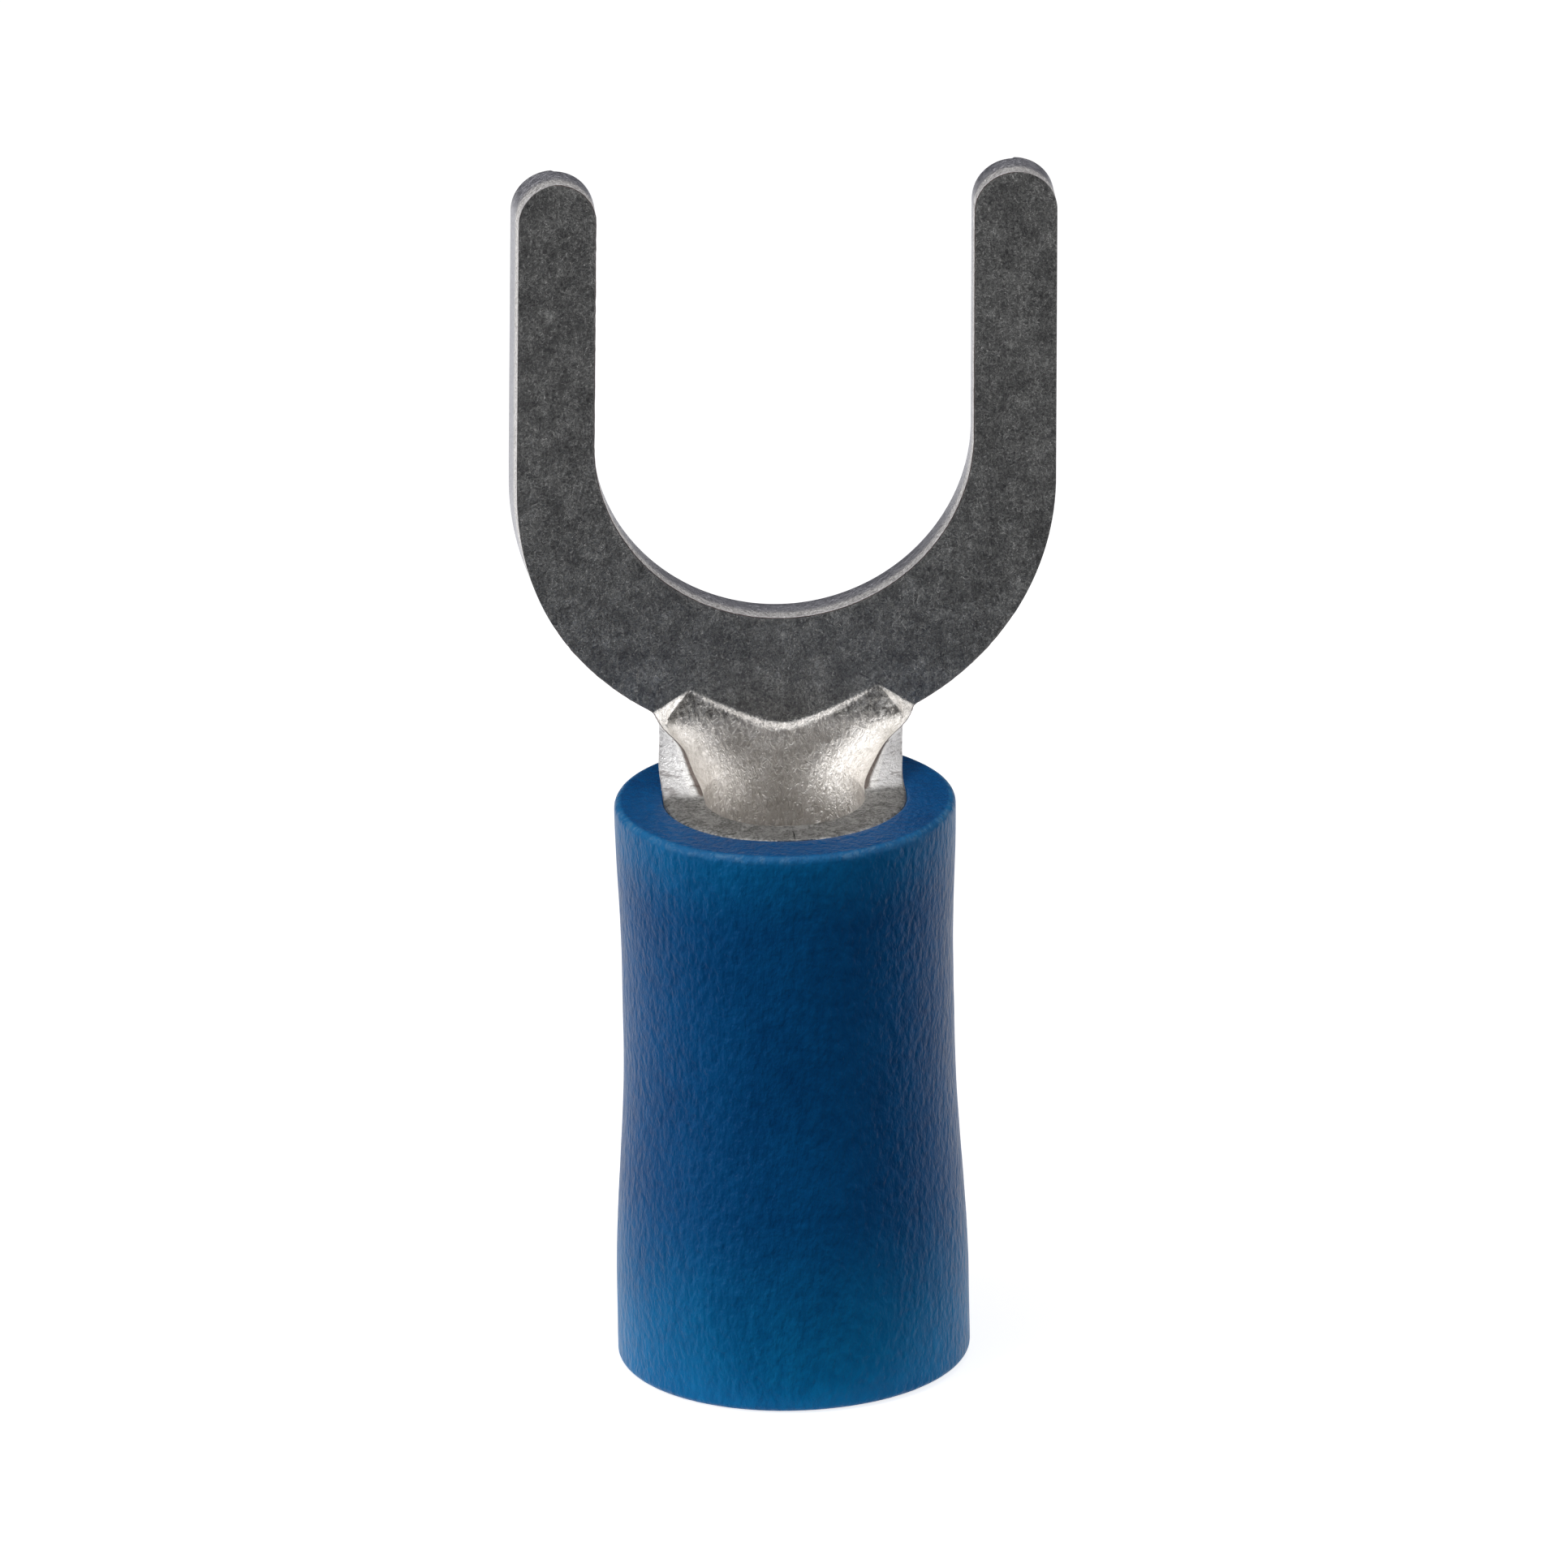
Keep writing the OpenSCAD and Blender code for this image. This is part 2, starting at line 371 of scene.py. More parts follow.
def ledge_foot(x):
    """The lower line of the bright ledge and of the two corner facets."""
    a = np.abs(x)
    share = np.minimum(a, LOBE_X) / LOBE_X
    out = np.maximum(a - LOBE_X, 0)
    inner = ledge_top(np.minimum(a, LOBE_X)) - DIP_LEDGE * (1 - share ** 3) - PEAK_LEDGE
    outer = inner - FACET_SLOPE * out - FACET_CURL * np.maximum(out - FACET_TURN, 0) ** 2
    return np.where(a > LOBE_X, np.maximum(outer, FACET_FOOT), inner)


def thickness(x, h):
    """The sheet's thickness: coined in the fork, proud at the ledge, plain in the barrel."""
    a = np.abs(x)
    inner = STEP_MIDDLE * np.sqrt(np.maximum(1 - a / LOBE_X, 0))
    outer = STEP_CORNER * np.clip((a - LOBE_X) / (BARREL_R - LOBE_X), 0, 1.2)
    proud = FORK_T + inner + outer
    top, foot = ledge_top(x), ledge_foot(x)
    on_ledge = np.clip((top - h) / np.maximum(top - foot, 1e-6), 0, 1)
    below = smooth((foot - h) / STEP_FADE)
    across = np.sin(np.pi * np.minimum(a / BARREL_R, 1)) ** 2
    hollow = HOLLOW * across * np.exp(-((h - HOLLOW_H) / HOLLOW_REACH) ** 2)
    return mix(mix(FORK_T, proud, on_ledge), WALL_T - hollow, below)


def bend(x, h, depth):
    """Points of the bent sheet, depth millimetres in front of its back face."""
    wide = np.where(h > 0, widened(h), 1.0)
    s = x / (BARREL_R * wide)
    spread = smooth(h / SPREAD_FADE) * smooth((CORNER_TOP - h) / SPREAD_FADE)
    wide = wide * (1 + NECK_SPREAD * spread)
    out = np.minimum(np.abs(s), 1)
    line = np.minimum(ledge_top(out * BARREL_R) - FLAT_MARGIN, FLAT_FROM)
    opened = np.clip(h / line, 0, 1)
    rim = (1 - opened ** OPENING_POWER) * smooth((1 - opened) / FLATTENING)
    middle = 1 - smooth((h + BORE_OPENS) / (line + BORE_OPENS))
    angle = np.radians(90) * mix(middle, rim, out ** RIM_POWER)
    flat = angle < 1e-3
    angle = np.where(flat, 1e-3, angle)
    outer = BARREL_R / np.sin(angle)
    px = wide * (outer - depth) * np.sin(s * angle)
    py = BARREL_R - outer + (outer - depth) * np.cos(s * angle)
    px = np.where(flat, x, px)
    py = np.where(flat, BARREL_R - depth, py)
    return as_made(px, py, h)


def as_made(px, py, h):
    """Leans and nods the fork a little, and leans the left tine in."""
    grip = smooth(h / LEAN_FROM)
    above = np.maximum(h - LEAN_FROM, 0)
    tine = np.where(px < 0, np.maximum(h - TINES_FROM, 0), 0)
    x = px + FORK_SHIFT * grip + FORK_LEAN * above + LEFT_TINE_LEAN * tine
    y = py - FORK_NOD * above
    z = BARREL_TOP + h - FORK_LEAN * px * grip
    return np.stack([x, y, z], axis=-1)


# The sheet's outline

def line(start, end, step):
    """Points from start up to, but not with, end."""
    start, end = np.array(start), np.array(end)
    n = max(1, round(float(np.linalg.norm(end - start)) / step))
    return [tuple(mix(start, end, k / n)) for k in range(n)]


def arc(centre, r, start, end, step):
    """Points on an arc, from start up to, but not with, end, in degrees."""
    n = max(2, round(abs(math.radians(end - start)) * r / step))
    turns = (math.radians(mix(start, end, k / n)) for k in range(n))
    return [(centre[0] + r * math.cos(a), centre[1] + r * math.sin(a)) for a in turns]


def right_outline():
    """The right half, from the seam's foot round the fork to the bottom of the slot."""
    # The sheet is drawn so that the seam's edge lies two radii out, half a turn from the back
    seam = 2 * BARREL_R - SEAM_GAP
    tine_r = (HALF_W - SLOT_R) / 2
    tip = (HALF_W - tine_r, TIP_H - tine_r)
    dx = CORNER_X * NECK_CORNER_R / (HALF_W + NECK_CORNER_R)
    contact = math.degrees(math.atan2(CORNER_TOP - CORNER_H, -dx))
    shoulder = math.degrees(math.atan2(CORNER_TOP - SHOULDER_H, CORNER_X - dx))
    relief = (BARREL_R + RELIEF_R, RELIEF_R)
    return (
        line((0, -BARREL_L), (seam, -BARREL_L), BARREL_STEP)
        + line((seam, -BARREL_L), (seam, SEAM_FINE_FROM), BARREL_STEP)
        + line((seam, SEAM_FINE_FROM), (seam, 0), NECK_STEP * 2)
        + line((seam, 0), (relief[0], 0), NECK_STEP)
        + arc(relief, RELIEF_R, 270, 180, NECK_STEP)
        + line((BARREL_R, RELIEF_R), (BARREL_R, CORNER_H), NECK_STEP)
        + arc((CORNER_X, CORNER_H), NECK_CORNER_R, 180, contact, NECK_STEP)
        + arc((0, SHOULDER_H), HALF_W, shoulder, 0, FORK_STEP * 0.7)
        + line((HALF_W, SHOULDER_H), (HALF_W, tip[1]), FORK_STEP)
        + arc(tip, tine_r, 0, 180, FORK_STEP * 0.6)
        + line((SLOT_R, tip[1]), (SLOT_R, SLOT_H), FORK_STEP)
        + arc((0, SLOT_H), SLOT_R, 0, -90, FORK_STEP * 0.7)
    )


def full_outline():
    right = right_outline()
    left = [(-x, h) for x, h in reversed(right[1:])]
    return np.array(right + [(0.0, SLOT_H - SLOT_R)] + left)


def outward(points):
    """Unit normals of a closed outline that runs anticlockwise."""
    along = np.roll(points, -1, axis=0) - np.roll(points, 1, axis=0)
    normals = np.stack([along[:, 1], -along[:, 0]], axis=1)
    return normals / np.linalg.norm(normals, axis=1, keepdims=True)


def inside(points, outline):
    """Which points lie inside a closed outline."""
    x, y = points[:, 0], points[:, 1]
    hit = np.zeros(len(points), bool)
    for (x0, y0), (x1, y1) in zip(outline, np.roll(outline, -1, axis=0)):
        if y0 == y1:
            continue
        crosses = (y0 > y) != (y1 > y)
        hit ^= crosses & (x < (x1 - x0) * (y - y0) / (y1 - y0) + x0)
    return hit


def lattice(x_lo, x_hi, h_lo, h_hi, step):
    """A triangular lattice of points over a rectangle."""
    rows = np.arange(h_lo, h_hi, step * math.sqrt(3) / 2)
    out = []
    for k, h in enumerate(rows):
        xs = np.arange(x_lo + step * (k % 2) / 2, x_hi, step)
        out.append(np.stack([xs, np.full_like(xs, h)], axis=1))
    return np.concatenate(out)


def clear_of(points, others, gap):
    """The points that lie at least gap from all the others."""
    tree = kdtree.KDTree(len(others))
    for i, (x, h) in enumerate(others):
        tree.insert((x, h, 0), i)
    tree.balance()
    keep = [tree.find((x, h, 0))[2] >= gap for x, h in points]
    return points[np.array(keep, bool)]


def sheet_points(border):
    """Points inside the sheet: fine in the neck, with rows along the ledge's two lines."""
    span = np.arange(-LEDGE_SPAN, LEDGE_SPAN, NECK_STEP * 0.8)
    ledges = np.concatenate([
        np.stack([span, ledge_top(span)], axis=1),
        np.stack([span, ledge_foot(span)], axis=1)])
    ledges = clear_of(ledges[inside(ledges, border)], border, NECK_STEP * BORDER_GAP)
    wide = 2 * BARREL_R
    fine = lattice(-wide, wide, NECK_LO, NECK_HI, NECK_STEP)
    fine = fine[np.abs(fine[:, 0]) < np.where(fine[:, 1] < 0.1, wide, NECK_SPAN)]
    fine = clear_of(fine, ledges, NECK_STEP * LEDGE_GAP)
    fork = lattice(-HALF_W, HALF_W, CORNER_H, TIP_H, FORK_STEP)
    fork = clear_of(fork, fine, FORK_STEP * LEAST_GAP)
    barrel = lattice(-wide, wide, -BARREL_L, NECK_LO, BARREL_STEP)
    barrel = clear_of(barrel, fine, BARREL_STEP * BORDER_GAP)
    rest = np.concatenate([fine, fork, barrel])
    rest = rest[inside(rest, border)]
    near = np.where((rest[:, 1] > NECK_LO) & (rest[:, 1] < NECK_HI), NECK_STEP, FORK_STEP)
    rest = np.concatenate([
        clear_of(rest[near == step], border, step * LEAST_GAP)
        for step in (NECK_STEP, FORK_STEP)])
    return np.concatenate([ledges, rest])


def ragged(x, h, depth):
    """The sheared edge's roughness: torn grain, and scratches along the punch's way."""
    place = Vector((x, h, 0))
    along = Vector((0, 0, depth))
    streak = noise.noise(place * STREAKS_PER_MM + along * STREAK_TURN)
    tear = noise.noise(place * TEARS_PER_MM + along * TEAR_TURN)
    return 0.5 * streak + 0.6 * tear


def edge_taper(outline, normals):
    """How far the front face's border stands in from the back's: on top and on the left."""
    x, h = outline[:, 0], outline[:, 1]
    left = smooth((-x - SLOT_R) / 0.4) * np.maximum(-normals[:, 0], 0)
    left = left * smooth((normals[:, 1] + 0.7) / 0.7)
    taper = TOP_TAPER * np.maximum(normals[:, 1], 0) + LEFT_TAPER * left
    return taper * smooth((h - TAPER_FROM) / TAPER_FADE)


def flat_sheet(border):
    """Points of the flat sheet, the border first, and the triangles between them."""
    points = np.concatenate([border, sheet_points(border)])
    loop = list(range(len(border)))
    verts, _, faces, *_ = delaunay_2d_cdt([Vector(p) for p in points], [], [loop], 1, 1e-5)
    return np.array([tuple(v) for v in verts]), faces


def back_face(flat, border):
    """The back face's points and marks; its own border is a little wider than the front's."""
    x, h = flat.T.copy()
    # High up, the back is coined and painted dark, as the front's coined face is
    coined = smooth((h - COINED_BACK_FROM) / COINED_BACK_FADE)
    # Mottled patches painted dark, a painted dark reflection, weaker on the back
    dull = DARK_MOTTLE_BACK * smooth((h - DARK_MOTTLE_BACK_FROM) / DARK_MOTTLE_BACK_FADE)
    end = np.where(np.arange(len(flat)) < len(border), h < 0.03, 0.0)
    x[:len(border)], h[:len(border)] = border.T
    points = bend(x, h, np.zeros(len(flat)))
    return points, {"coined": coined, "dull": dull, "end": end}


def front_face(flat):
    """The front face's points and marks: coined and painted dark above the ledge, with mottled
    patches painted dark on the lobes' tops.
    """
    x, h = flat.T
    coined = (h > ledge_top(x) - 0.01).astype(float)
    dull = smooth((h - DARK_MOTTLE_FROM) / DARK_MOTTLE_FADE) * (h < ledge_foot(x))
    return bend(x, h, thickness(x, h)), {"coined": coined, "dull": dull}


def cut_edge(outline, normals, crisp, taper, border):
    """Points and marks of each ring of the cut edge, from the front to the back."""
    ring_end = smooth((RING_TOP - outline[:, 1]) / RING_FADE)
    neck = smooth((CORNER_TOP - outline[:, 1]) / NECK_FADE)
    full = thickness(border[:, 0], border[:, 1])
    rings = []
    for inset, share, rough in EDGE_PROFILE:
        depth = full * (1 - share)
        rough = np.maximum(rough, NECK_ROUGHNESS * neck)
        wobble = np.array([ragged(x, h, d) for (x, h), d in zip(outline, depth)])
        offset = -inset * crisp - taper * (1 - share) + EDGE_ROUGHNESS * rough * wobble * crisp
        ring = outline + normals * offset[:, None]
        # The cut's front edge gets a dark brown line, broad on the neck's sides
        dark_line = neck * max(0, DARK_LINE_START - DARK_LINE_FALL * share)
        if share == EDGE_PROFILE[0][1]:
            dark_line = 1.0
        marks = {
            "sheared": np.ones(len(ring)), "torn": rough, "neck": neck,
            "edge": dark_line * (1 - ring_end), "end": ring_end,
        }
        rings.append((bend(ring[:, 0], ring[:, 1], depth), marks))
    return rings


def edge_quads(count, n):
    """Faces of the cut edge, between n border points of two faces with count points each."""
    quads = []
    for k in range(len(EDGE_PROFILE) + 1):
        a = count if k == 0 else 2 * count + (k - 1) * n
        b = 0 if k == len(EDGE_PROFILE) else 2 * count + k * n
        quads += [(a + i, b + i, b + (i + 1) % n, a + (i + 1) % n) for i in range(n)]
    return quads


def make_metal():
    """The whole stamped sheet as one closed mesh: back face, front face and cut edge."""
    outline = full_outline()
    normals = outward(outline)
    crisp = np.where(np.abs(outline[:, 0]) > 1.9 * BARREL_R, SEAM_CRISPNESS, 1.0)
    taper = edge_taper(outline, normals)
    border = outline - normals * (EDGE_INSET * crisp + taper)[:, None]
    back_border = outline - normals * (EDGE_INSET * crisp)[:, None]
    flat, faces = flat_sheet(border)
    count = len(flat)
    parts = [back_face(flat, back_border), front_face(flat)]
    parts += cut_edge(outline, normals, crisp, taper, border)
    front = [tuple(count + i for i in face) for face in faces]
    back = [tuple(reversed(face)) for face in faces]
    mesh = bpy.data.meshes.new("tinned_fork")
    points = np.concatenate([part for part, _ in parts])
    mesh.from_pydata(points * MM, [], front + back + edge_quads(count, len(border)))
    mesh.validate()
    mesh.set_sharp_from_angle(angle=SHARP_ANGLE)
    for name in ("coined", "dull", "sheared", "torn", "edge", "end", "neck"):
        values = [marks.get(name, np.zeros(len(part))) for part, marks in parts]
        set_mark(mesh, name, np.concatenate(values))
    return finish_piece(mesh, metal_material(), "fork_terminal")


def set_mark(mesh, name, values):
    """Keeps a mask on a mesh for its material."""
    layer = mesh.attributes.new(name, "FLOAT", "POINT")
    layer.data.foreach_set("value", values.astype(np.float32))


def finish_piece(mesh, material, node):
    """Puts a mesh in the scene in place of a solid, with its finish."""
    mesh.materials.append(material)
    piece = bpy.data.objects.new(mesh.name, mesh)
    bpy.context.collection.objects.link(piece)
    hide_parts(node)
    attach(piece, "root")
    return piece


# The sleeve

def sleeve_r(z):
    """Radius of the sleeve's outside at one height."""
    mouth = MOUTH_SWELL * smooth((z - SLEEVE_L + MOUTH_SWELL_H) / MOUTH_SWELL_H)
    foot = FOOT_SWELL * smooth((FOOT_SWELL_TOP - z) / (FOOT_SWELL_TOP - FOOT_SWELL_BASE))
    return WAIST_R + mouth + foot


def quarter(r, z, size, start, steps=7):
    """Points of a quarter circle in the sleeve's section, from start, in degrees."""
    turns = (math.radians(start + 90 * k / steps) for k in range(steps + 1))
    return [(r + size * math.cos(a), z + size * math.sin(a)) for a in turns]


def sleeve_section():
    """A closed line round the wall: up the outside, over the mouth and down the bores."""
    grip = BARREL_R
    top = SLEEVE_L - MOUTH_RIM_R
    rim_r = sleeve_r(top) - MOUTH_RIM_R
    foot = quarter(sleeve_r(FOOT_RIM_R) - FOOT_RIM_R, FOOT_RIM_R, FOOT_RIM_R, -90)
    rise = np.linspace(FOOT_RIM_R, top, SLEEVE_ROWS)
    outside = [(float(sleeve_r(z)), z) for z in rise[1:-1]]
    mouth = quarter(rim_r, top, MOUTH_RIM_R, 0)
    face = [(mix(rim_r, grip + BORE_RIM_R, k / 8), SLEEVE_L) for k in range(1, 8)]
    lip = quarter(grip + BORE_RIM_R, SLEEVE_L - BORE_RIM_R, BORE_RIM_R, 90, 4)
    bore = [(grip, z) for z in np.linspace(SLEEVE_L - 1, BARREL_TOP - BARREL_L, 5)]
    entry = [(ENTRY_R, z) for z in (ENTRY_L, *ENTRY_ROWS, BORE_RIM_R * 2)]
    hem = [(ENTRY_R + BORE_RIM_R, BORE_RIM_R * 0.4), (ENTRY_R + BORE_RIM_R * 2, 0)]
    return foot + outside + mouth + face + lip + bore + entry + hem


def sleeve_point(r, z, a):
    """A point of the sleeve at one turn, moved by the unevenness of extruded, cut tube."""
    way = Vector((math.cos(a), math.sin(a), z * 0.22))
    soft = noise.noise(way * 1.3) * SOFT_SWELL
    fine = noise.noise(Vector((way.x * 9, way.y * 9, z * 1.6))) * FINE_SWELL
    r += (soft + fine) * float(smooth((r - BARREL_R - 0.1) / 0.4))
    wave = noise.noise(way * 2.1 + Vector((5, 5, 5))) * MOUTH_WAVE
    z_up = float(smooth((z - SLEEVE_L + 0.4) / 0.4)) * wave
    z_up += FOOT_TILT * (1 + math.cos(a)) * float(smooth(1 - z))
    return r * math.cos(a), r * math.sin(a), z + z_up


def make_sleeve():
    """The sleeve: its section turned round the axis."""
    section = sleeve_section()
    rows = len(section)
    turns = [2 * math.pi * k / SLEEVE_TURNS for k in range(SLEEVE_TURNS)]
    verts = [sleeve_point(r, z, a) for a in turns for r, z in section]
    faces = []
    for k in range(SLEEVE_TURNS):
        a, b = k * rows, (k + 1) % SLEEVE_TURNS * rows
        faces += [(a + i, b + i, b + (i + 1) % rows, a + (i + 1) % rows)
                  for i in range(rows)]
    mesh = bpy.data.meshes.new("pvc_sleeve")
    mesh.from_pydata(np.array(verts) * MM, [], faces)
    mesh.validate()
    mesh.shade_smooth()
    r, z = (np.tile(values, SLEEVE_TURNS) for values in np.array(section).T)
    outside = smooth((r - WAIST_R + 0.05) / 0.05)
    mouth = smooth((z - SLEEVE_L + MOUTH_DEPTH) / MOUTH_FADE) * outside
    # Painted light: lighter low down, mostly for light bounced up from the floor, and at the open
    # mouth for light that comes through the wall
    thin = smooth((ENTRY_L - BOUNCE_MARGIN - z) / BOUNCE_FADE) + MOUTH_SHARE * mouth
    set_mark(mesh, "thin", thin)
    # A painted highlight along the mouth's rounded rim
    from_rim = np.hypot(r - sleeve_r(SLEEVE_L) + HIGHLIGHT_IN, z - SLEEVE_L + HIGHLIGHT_IN)
    set_mark(mesh, "rim", smooth(1 - from_rim / HIGHLIGHT_R))
    return finish_piece(mesh, sleeve_material(), "insulating_sleeve")


# Finishes

class Shader:
    """A Principled material with short helpers for noise, ramps and mixes."""

    def __init__(self, name):
        self.material, self.nodes, self.links = new_material(name)
        self.body = self.nodes.new("ShaderNodeBsdfPrincipled")
        output = self.nodes.new("ShaderNodeOutputMaterial")
        self.links.new(self.body.outputs[0], output.inputs[0])
        self.place = self.nodes.new("ShaderNodeTexCoord").outputs["Object"]

    def set(self, socket, value):
        if hasattr(value, "node"):
            self.links.new(value, self.body.inputs[socket])
        else:
            self.body.inputs[socket].default_value = value

    def scaled(self, x, y, z):
        """The object's own place in millimetres, stretched."""
        node = self.nodes.new("ShaderNodeMapping")
        node.inputs["Scale"].default_value = (x / MM, y / MM, z / MM)
        self.links.new(self.place, node.inputs["Vector"])
        return node.outputs[0]

    def grain(self, size, detail=3.0, stretch=(1, 1, 1), rough=0.55, warp=0.0):
        """Noise from 0 to 1 whose marks are about size millimetres across."""
        node = self.nodes.new("ShaderNodeTexNoise")
        node.inputs["Scale"].default_value = 1.0
        node.inputs["Detail"].default_value = detail
        node.inputs["Roughness"].default_value = rough
        node.inputs["Distortion"].default_value = warp
        place = self.scaled(*(1 / (size * k) for k in stretch))
        self.links.new(place, node.inputs["Vector"])
        return node.outputs[0]

    def ramp(self, value, *stops):
        """Colours or greys by value, from (position, colour) stops."""
        node = self.nodes.new("ShaderNodeValToRGB")
        bar = node.color_ramp.elements
        while len(bar) < len(stops):
            bar.new(0.5)
        for element, (at, colour) in zip(bar, stops):
            element.position = at
            if not hasattr(colour, "__len__"):
                colour = (colour,) * 3
            element.color = (*colour, 1)
        self.links.new(value, node.inputs[0])
        return node.outputs[0]

    def blend(self, share, a, b):
        """From a to b by share."""
        node = self.nodes.new("ShaderNodeMix")
        node.data_type = "RGBA"
        for socket, value in zip((node.inputs[0], node.inputs[6], node.inputs[7]), (share, a, b)):
            if hasattr(value, "node"):
                self.links.new(value, socket)
            else:
                socket.default_value = value if isinstance(value, float) else (*value, 1)
        return node.outputs[2]

    def sum(self, *terms):
        """The sum of (output, factor) pairs."""
        total = None
        for value, factor in terms:
            node = self.nodes.new("ShaderNodeMath")
            node.operation = "MULTIPLY_ADD"
            self.links.new(value, node.inputs[0])
            node.inputs[1].default_value = factor
            if total is None:
                node.inputs[2].default_value = 0
            else:
                self.links.new(total, node.inputs[2])
            total = node.outputs[0]
        return total

    def both(self, a, b):
        """The product of two outputs."""
        node = self.nodes.new("ShaderNodeMath")
        node.operation = "MULTIPLY"
        self.links.new(a, node.inputs[0])
        self.links.new(b, node.inputs[1])
        return node.outputs[0]

    def mark(self, name):
        """A mask that is kept on the mesh."""
        node = self.nodes.new("ShaderNodeAttribute")
        node.attribute_name = name
        return node.outputs["Fac"]

    def bump(self, height, depth):
        """Relief of depth millimetres."""
        node = self.nodes.new("ShaderNodeBump")
        node.inputs["Strength"].default_value = 1.0
        node.inputs["Distance"].default_value = depth * MM
        self.links.new(height, node.inputs["Height"])
        self.set("Normal", node.outputs[0])


def coined_tin_painted_dark(m, mottle):
    """Cloudy tin with narrow dark veins and flecks, in a tone painted dark: a painted dark
    reflection.
    """
    tin = m.ramp(mottle, (0.36, (0.21, 0.21, 0.21)), (0.5, (0.45, 0.448, 0.438)),
                 (0.62, (0.80, 0.80, 0.775)))
    web = m.grain(0.14, 5, rough=0.65, warp=1.2)
    veins = m.ramp(web, (0.42, 0.0), (0.5, 0.5), (0.58, 0.0))
    tin = m.blend(veins, tin, (0.16, 0.16, 0.16))
    flecks = m.ramp(m.grain(0.3, 3, rough=0.7, warp=1.0), (0.62, 0.0), (0.70, 0.6))
    return m.blend(flecks, tin, (0.15, 0.15, 0.155))


def drawn_finish(m, grain, felt, patch):
    """Bright, warm tin in the channel, with mottled patches painted dark on the lobes' tops, a
    painted dark reflection.
    """
    cloud = m.grain(0.3, 3, rough=0.6, warp=0.5)
    bright = m.ramp(m.sum((grain, 0.6), (cloud, 0.4)), (0.34, (0.66, 0.63, 0.59)),
                    (0.5, (0.88, 0.845, 0.805)), (0.64, (1.0, 0.97, 0.94)))
    # The patches' colour: mottled and painted dark, a painted dark reflection
    dull = m.ramp(m.sum((patch, 0.6), (felt, 0.4)), (0.4, (0.17, 0.165, 0.16)),
                  (0.5, (0.46, 0.445, 0.42)), (0.6, (0.92, 0.90, 0.87)))
    return m.blend(m.mark("dull"), bright, dull)


def cut_finish(m, speck, torn_grain, strokes):
    """The punch's cut: burnished, torn towards the front, and scraped on the neck."""
    burnished = m.ramp(speck, (0.3, (0.40, 0.40, 0.44)), (0.7, (0.52, 0.52, 0.56)))
    torn = m.ramp(torn_grain, (0.35, (0.45, 0.43, 0.42)), (0.6, (0.95, 0.93, 0.91)))
    scraped = m.ramp(strokes, (0.36, (0.5, 0.47, 0.45)), (0.46, (1.0, 0.985, 0.965)))
    torn = m.blend(m.mark("neck"), torn, scraped)
    return m.blend(m.mark("torn"), burnished, torn)


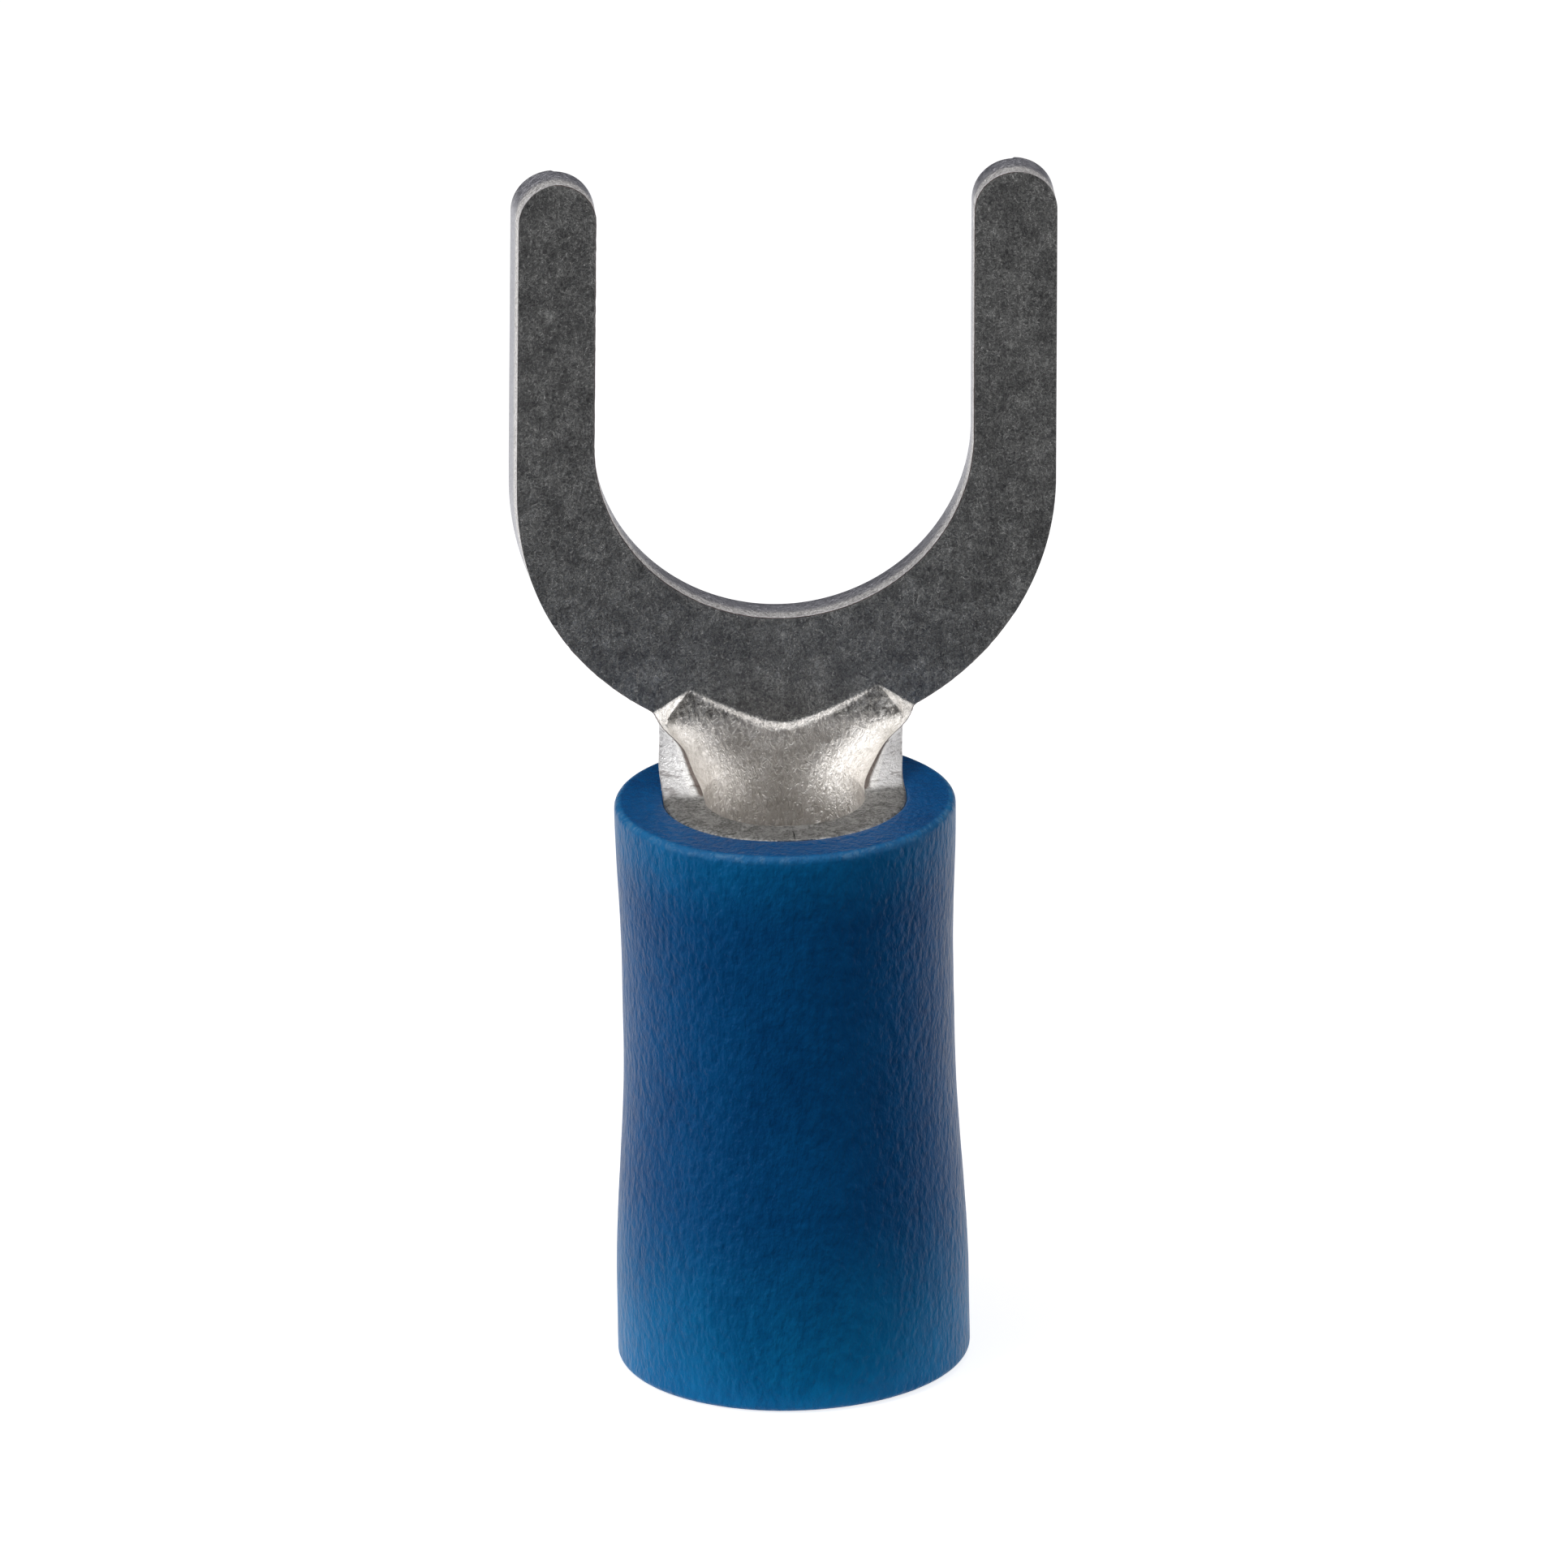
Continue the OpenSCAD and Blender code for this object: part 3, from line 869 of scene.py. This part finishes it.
def metal_material():
    """Tin plating: painted dark where coined, a painted dark reflection; bright where drawn, torn
    where it was cut.
    """
    m = Shader("tinned_metal")
    felt = m.grain(0.075, 4, rough=0.65, warp=2.2)
    mottle = m.sum((m.grain(0.38, 4, rough=0.62), 0.33), (felt, 0.67))
    speck = m.grain(0.04, 3, rough=0.6)
    patch = m.grain(0.16, 4, rough=0.6, warp=1.2)
    drawn_grain = m.grain(0.085, 4, stretch=(1, 1, 1.9), rough=0.65, warp=1.6)
    torn_grain = m.grain(0.05, 4, rough=0.7)
    strokes = m.grain(0.05, 4, stretch=(6, 4, 1), rough=0.6)

    drawn = drawn_finish(m, drawn_grain, felt, patch)
    # The coined faces are painted dark: a painted dark reflection
    colour = m.blend(m.mark("coined"), drawn, coined_tin_painted_dark(m, mottle))
    colour = m.blend(m.mark("sheared"), colour, cut_finish(m, speck, torn_grain, strokes))
    end = m.ramp(m.sum((patch, 0.5), (torn_grain, 0.5)), (0.4, (0.12, 0.118, 0.11)),
                 (0.6, (0.46, 0.45, 0.435)))
    colour = m.blend(m.mark("end"), colour, end)
    # A dark brown line along the cut's front edge, broad on the neck's sides
    dark_line = m.ramp(m.mark("edge"), (0.25, 0.0), (0.8, 0.85))
    m.set("Base Color", m.blend(dark_line, colour, (0.10, 0.06, 0.04)))
    m.set("Metallic", 1.0)
    plain = m.ramp(mottle, (0.3, 0.30), (0.7, 0.46))
    m.set("Roughness", m.blend(m.mark("torn"), plain, (0.5, 0.5, 0.5)))

    hammered = m.blend(m.mark("coined"), drawn_grain, (0.5, 0.5, 0.5))
    relief = m.sum((speck, 0.5), (felt, 0.5), (drawn_grain, 1.1), (hammered, 1.0))
    rough = m.blend(m.mark("neck"), torn_grain, strokes)
    rough = m.blend(m.mark("torn"), (0.0, 0.0, 0.0), rough)
    m.bump(m.sum((relief, 1.0), (rough, 2.6)), 0.012)
    return m.material


def sleeve_material():
    """Soft PVC, semi-matt, with streaks along the tube and a fine orange peel; painted lighter
    low down and at the mouth, with a painted highlight along the mouth's rim.
    """
    m = Shader("blue_pvc")
    cloud = m.grain(1.4, 3, stretch=(1, 1, 1.8))
    streak = m.grain(0.17, 4, stretch=(1, 1, 1.5), rough=0.55, warp=0.5)
    peel = m.grain(0.12, 3, stretch=(1, 1, 1.7), rough=0.5)
    tone = m.sum((cloud, 0.5), (streak, 0.5))
    deep = m.ramp(tone, (0.35, (0.001, 0.08, 0.265)), (0.65, (0.002, 0.122, 0.37)))
    # A lighter copy of the blue, for the painted light
    thin = m.ramp(tone, (0.35, (0.002, 0.17, 0.45)), (0.65, (0.004, 0.25, 0.60)))
    colour = m.blend(m.mark("thin"), deep, thin)
    # The rim's painted highlight, broken into patches
    rim_highlight = m.ramp(m.grain(0.25, 4, rough=0.7, warp=0.8), (0.48, 0.15), (0.62, 0.7))
    m.set("Base Color", m.blend(m.both(m.mark("rim"), rim_highlight), colour, (0.16, 0.36, 0.60)))
    m.set("Roughness", m.ramp(streak, (0.3, 0.3), (0.7, 0.4)))
    m.set("Specular IOR Level", 0.11)
    m.set("Subsurface Weight", 0.12)
    m.body.inputs["Subsurface Radius"].default_value = (0.2, 0.6, 1.0)
    m.set("Subsurface Scale", 0.4 * MM)
    m.bump(m.sum((streak, 0.6), (peel, 1.2)), 0.036)
    return m.material


make_camera()
make_world(ambient=0.06)
make_floor(size=4000, glow=0.8)
make_softbox("left_softbox", -67, 26, 150, 104, 200, 0.132, (1.0, 1.0, 1.0))
make_softbox("right_softbox", 67, 26, 170, 108, 200, 0.062, (1.0, 0.97, 0.95))
make_softbox("top_softbox", -10, 82, 180, 150, 120, 0.067, (1.0, 1.0, 1.0))
make_front_card()
make_back_card()
make_metal()
make_sleeve()
